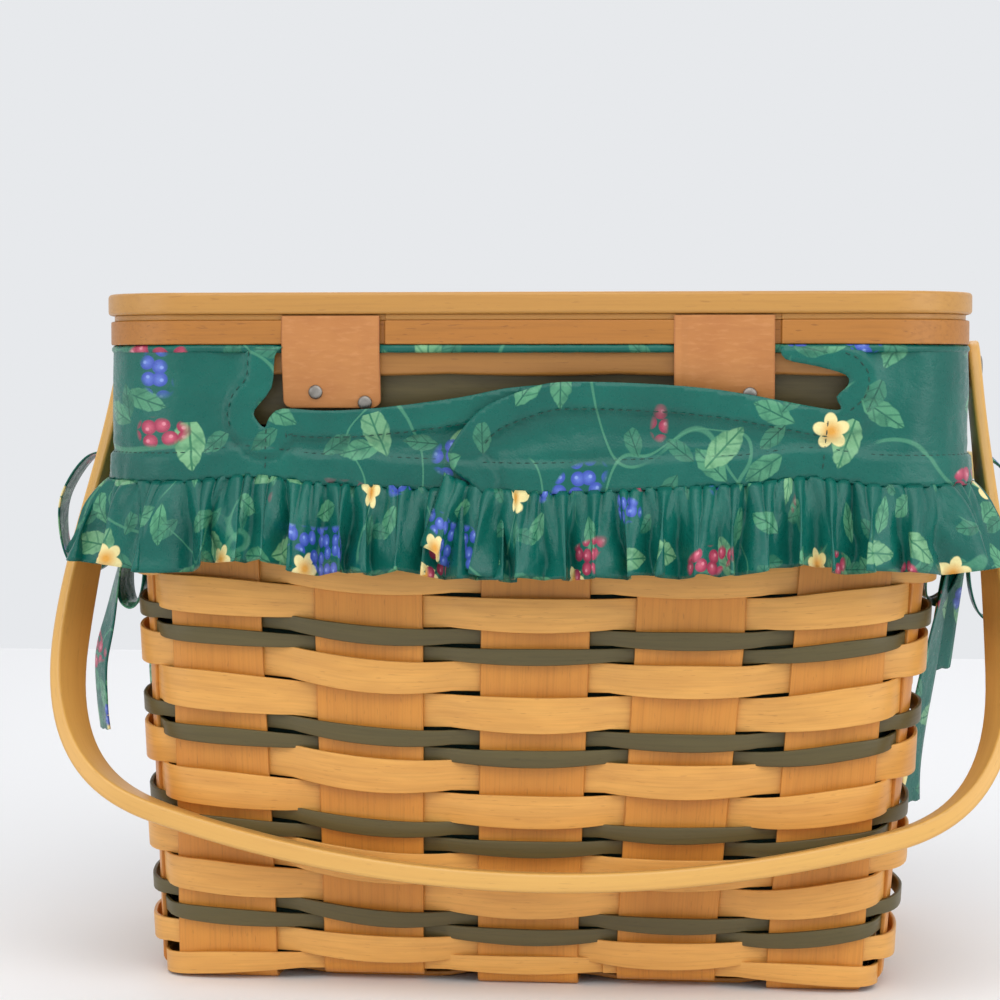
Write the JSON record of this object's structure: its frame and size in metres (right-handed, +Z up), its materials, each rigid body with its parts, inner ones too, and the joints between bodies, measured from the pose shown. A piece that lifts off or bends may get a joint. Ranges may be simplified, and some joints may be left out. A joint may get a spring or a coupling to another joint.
{
  "type": "lidded woven basket",
  "caption": "Woven splint basket with a flat hinged lid, a swing handle on side pivots, a cloth liner, a ruffled skirt and ribbon ties.",
  "frame": {"origin": "middle of the flat underside of the floor, where the middle splints cross", "axes": "+X along the long side to the right, +Z up, -Y towards the hinge side with the leather straps"},
  "size_m": [0.3228, 0.1993, 0.2132],
  "materials": {
    "maple": "honey coloured hardwood splint, satin lacquer",
    "maple_dark": "deeper orange hardwood splint, satin lacquer",
    "olive_stain": "brown olive stained hardwood splint, satin lacquer",
    "leather": "light tan vegetable leather, smooth grain side out",
    "steel": "plain steel tack and pin heads",
    "printed_cloth": "dark teal cotton with a small botanical print"
  },
  "bodies": {
    "basket": {"upright_long_1": "maple_dark", "upright_long_2": "maple_dark", "upright_long_3": "maple_dark", "upright_long_4": "maple_dark", "upright_long_5": "maple_dark", "upright_cross_1": "maple_dark", "upright_cross_2": "maple_dark", "upright_cross_3": "maple_dark", "weaver_wide_1": "maple", "weaver_wide_2": "maple", "weaver_wide_3": "maple", "weaver_wide_4": "maple", "weaver_wide_5": "maple", "weaver_wide_6": "maple", "weaver_wide_7": "maple", "weaver_wide_8": "maple", "weaver_wide_9": "maple", "weaver_wide_10": "maple", "weaver_wide_11": "maple", "weaver_wide_12": "maple", "weaver_thin_1": "olive_stain", "weaver_thin_2": "olive_stain", "weaver_thin_3": "olive_stain", "weaver_thin_4": "olive_stain", "weaver_thin_5": "olive_stain", "weaver_thin_6": "olive_stain", "weaver_thin_7": "olive_stain", "weaver_thin_8": "olive_stain", "weaver_thin_9": "olive_stain", "weaver_thin_10": "olive_stain", "weaver_thin_11": "olive_stain", "weaver_thin_12": "olive_stain", "weaver_top_band": "olive_stain", "rim_outer_band": "maple", "rim_inner_band": "maple", "liner_bag": "printed_cloth", "hinge_strap_left": "leather", "hinge_strap_right": "leather", "hinge_tack_left_1": "steel", "hinge_tack_left_2": "steel", "hinge_tack_right_1": "steel", "hinge_tack_right_2": "steel", "handle_spacer_left": "maple_dark", "handle_spacer_right": "maple_dark", "handle_pin_left": "steel", "handle_pin_right": "steel", "skirt_front_left": "printed_cloth", "skirt_front_right": "printed_cloth", "skirt_back": "printed_cloth", "ruffle_front_left": "printed_cloth", "ruffle_front_right": "printed_cloth", "ruffle_back": "printed_cloth", "tie_bow_left": "printed_cloth", "tie_bow_right": "printed_cloth"},
    "lid": {"lid_frame": "maple_dark", "lid_spacer": "maple_dark", "lid_board": "maple"},
    "handle": {"handle": "maple"}
  },
  "joints": [
    {"name": "lid_hinge", "type": "hinge", "parent": "basket", "child": "lid", "pos_m": [0, -0.0886, 0.1982], "axis": [1, 0, 0], "range_deg": [0, 100], "deforming": ["hinge_strap_left", "hinge_strap_right"]},
    {"name": "handle_swing", "type": "hinge", "parent": "basket", "child": "handle", "pos_m": [0, 0, 0.1905], "axis": [-1, 0, 0], "range_deg": [0, 270]}
  ]
}
